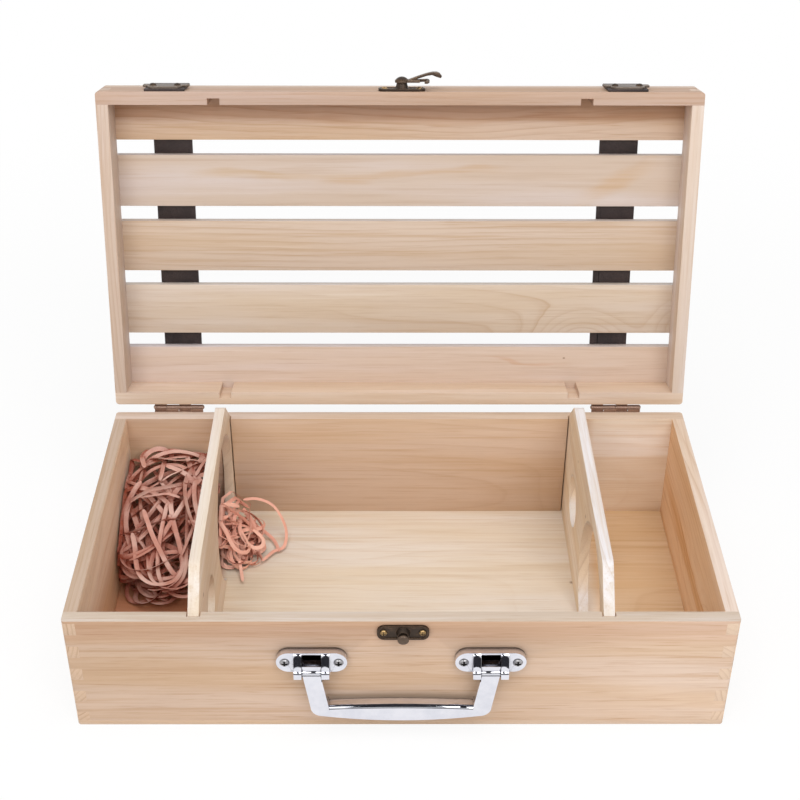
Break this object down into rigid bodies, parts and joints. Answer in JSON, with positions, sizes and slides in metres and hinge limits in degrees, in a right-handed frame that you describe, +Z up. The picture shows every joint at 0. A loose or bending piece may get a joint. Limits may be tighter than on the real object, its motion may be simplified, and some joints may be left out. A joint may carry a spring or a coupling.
{
  "type": "wooden wine box",
  "caption": "Finger-jointed pine wine box with slatted hinged lid, grooved-in bottle dividers, hook latch, leather straps and a chrome carrying handle, shown open.",
  "frame": {"origin": "centre of the case's underside, where the box stands", "axes": "+X to the right seen from the front, +Y to the back where the hinges are, +Z up"},
  "size_m": [0.35, 0.2765, 0.2717],
  "materials": {
    "pine": "bare sanded pine, pale cream with fine straight and cathedral grain",
    "plywood": "bare sanded pine-faced plywood",
    "bronze": "antique bronze, darkened, brassy on worn edges",
    "brass_screws": "antique brass screws and nails, worn bright on the heads",
    "chrome": "polished chrome plate",
    "leather": "dark brown leather, matt with fine grain",
    "paper": "matt shredded tissue paper, dusty pink"
  },
  "bodies": {
    "case": {"base_panel": "plywood", "front_wall": "pine", "back_wall": "pine", "left_wall": "pine", "right_wall": "pine", "left_divider": "plywood", "right_divider": "plywood", "catch_plate": "bronze", "catch_stud": "bronze", "catch_screws": "brass_screws", "left_handle_bracket": "chrome", "right_handle_bracket": "chrome", "left_handle_pin": "chrome", "right_handle_pin": "chrome", "handle_screws": "chrome", "left_hinge_case_leaf": "bronze", "right_hinge_case_leaf": "bronze", "left_hinge_pin": "bronze", "right_hinge_pin": "bronze", "hinge_case_screws": "brass_screws", "shred_nest": "paper", "shred_spill": "paper"},
    "lid": {"lid_front_rail": "pine", "lid_back_rail": "pine", "lid_left_rail": "pine", "lid_right_rail": "pine", "slat_1": "pine", "slat_2": "pine", "slat_3": "pine", "slat_4": "pine", "slat_5": "pine", "left_strap": "leather", "right_strap": "leather", "left_strap_end": "bronze", "right_strap_end": "bronze", "strap_nails": "brass_screws", "latch_plate": "bronze", "latch_screws": "brass_screws", "latch_pivot": "bronze", "left_hinge_lid_leaf": "bronze", "right_hinge_lid_leaf": "bronze", "hinge_lid_screws": "brass_screws"},
    "hook": {"latch_hook": "bronze"},
    "handle": {"handle_bail": "chrome"}
  },
  "joints": [
    {"name": "lid_hinge", "type": "hinge", "parent": "case", "child": "lid", "pos_m": [0, 0.0975, 0.077], "axis": [1, 0, 0], "range_deg": [0, 104.5]},
    {"name": "handle_swing", "type": "hinge", "parent": "case", "child": "handle", "pos_m": [0, -0.1012, 0.045], "axis": [-1, 0, 0], "range_deg": [0, 90]},
    {"name": "hook_swing", "type": "hinge", "parent": "lid", "child": "hook", "pos_m": [0.0009, 0.14918, 0.26247], "axis": [0, -0.2504, -0.9681], "range_deg": [-45, 90]}
  ]
}
